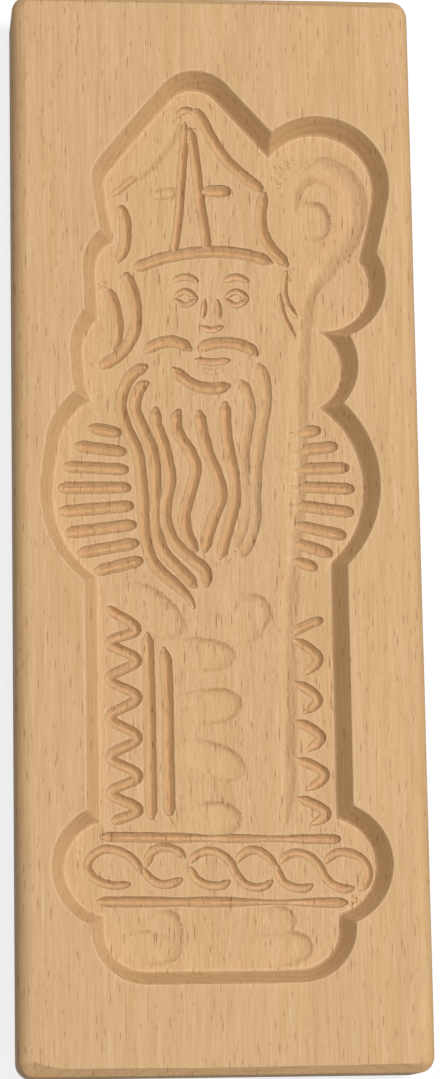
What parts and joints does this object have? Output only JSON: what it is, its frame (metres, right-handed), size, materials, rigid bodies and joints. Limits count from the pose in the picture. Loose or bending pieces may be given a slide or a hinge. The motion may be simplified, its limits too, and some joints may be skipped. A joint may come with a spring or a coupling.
{
  "type": "speculaas board",
  "caption": "Thick beech plank with a drafted, recessed biscuit mould of a bishop figure carved in its face, with round-nosed grooves and soft scoops.",
  "frame": {"origin": "centre of the flat back, the face that the board rests on", "axes": "+X to the right and +Y to the mitre's tip as the carved face is seen, +Z out of the carved face"},
  "size_m": [0.097, 0.2602, 0.022],
  "materials": {
    "beech": "bare planed and carved beech, dry and matt, with short dark ray flecks"
  },
  "bodies": {
    "root": {"carved_board": "beech"}
  },
  "joints": []
}
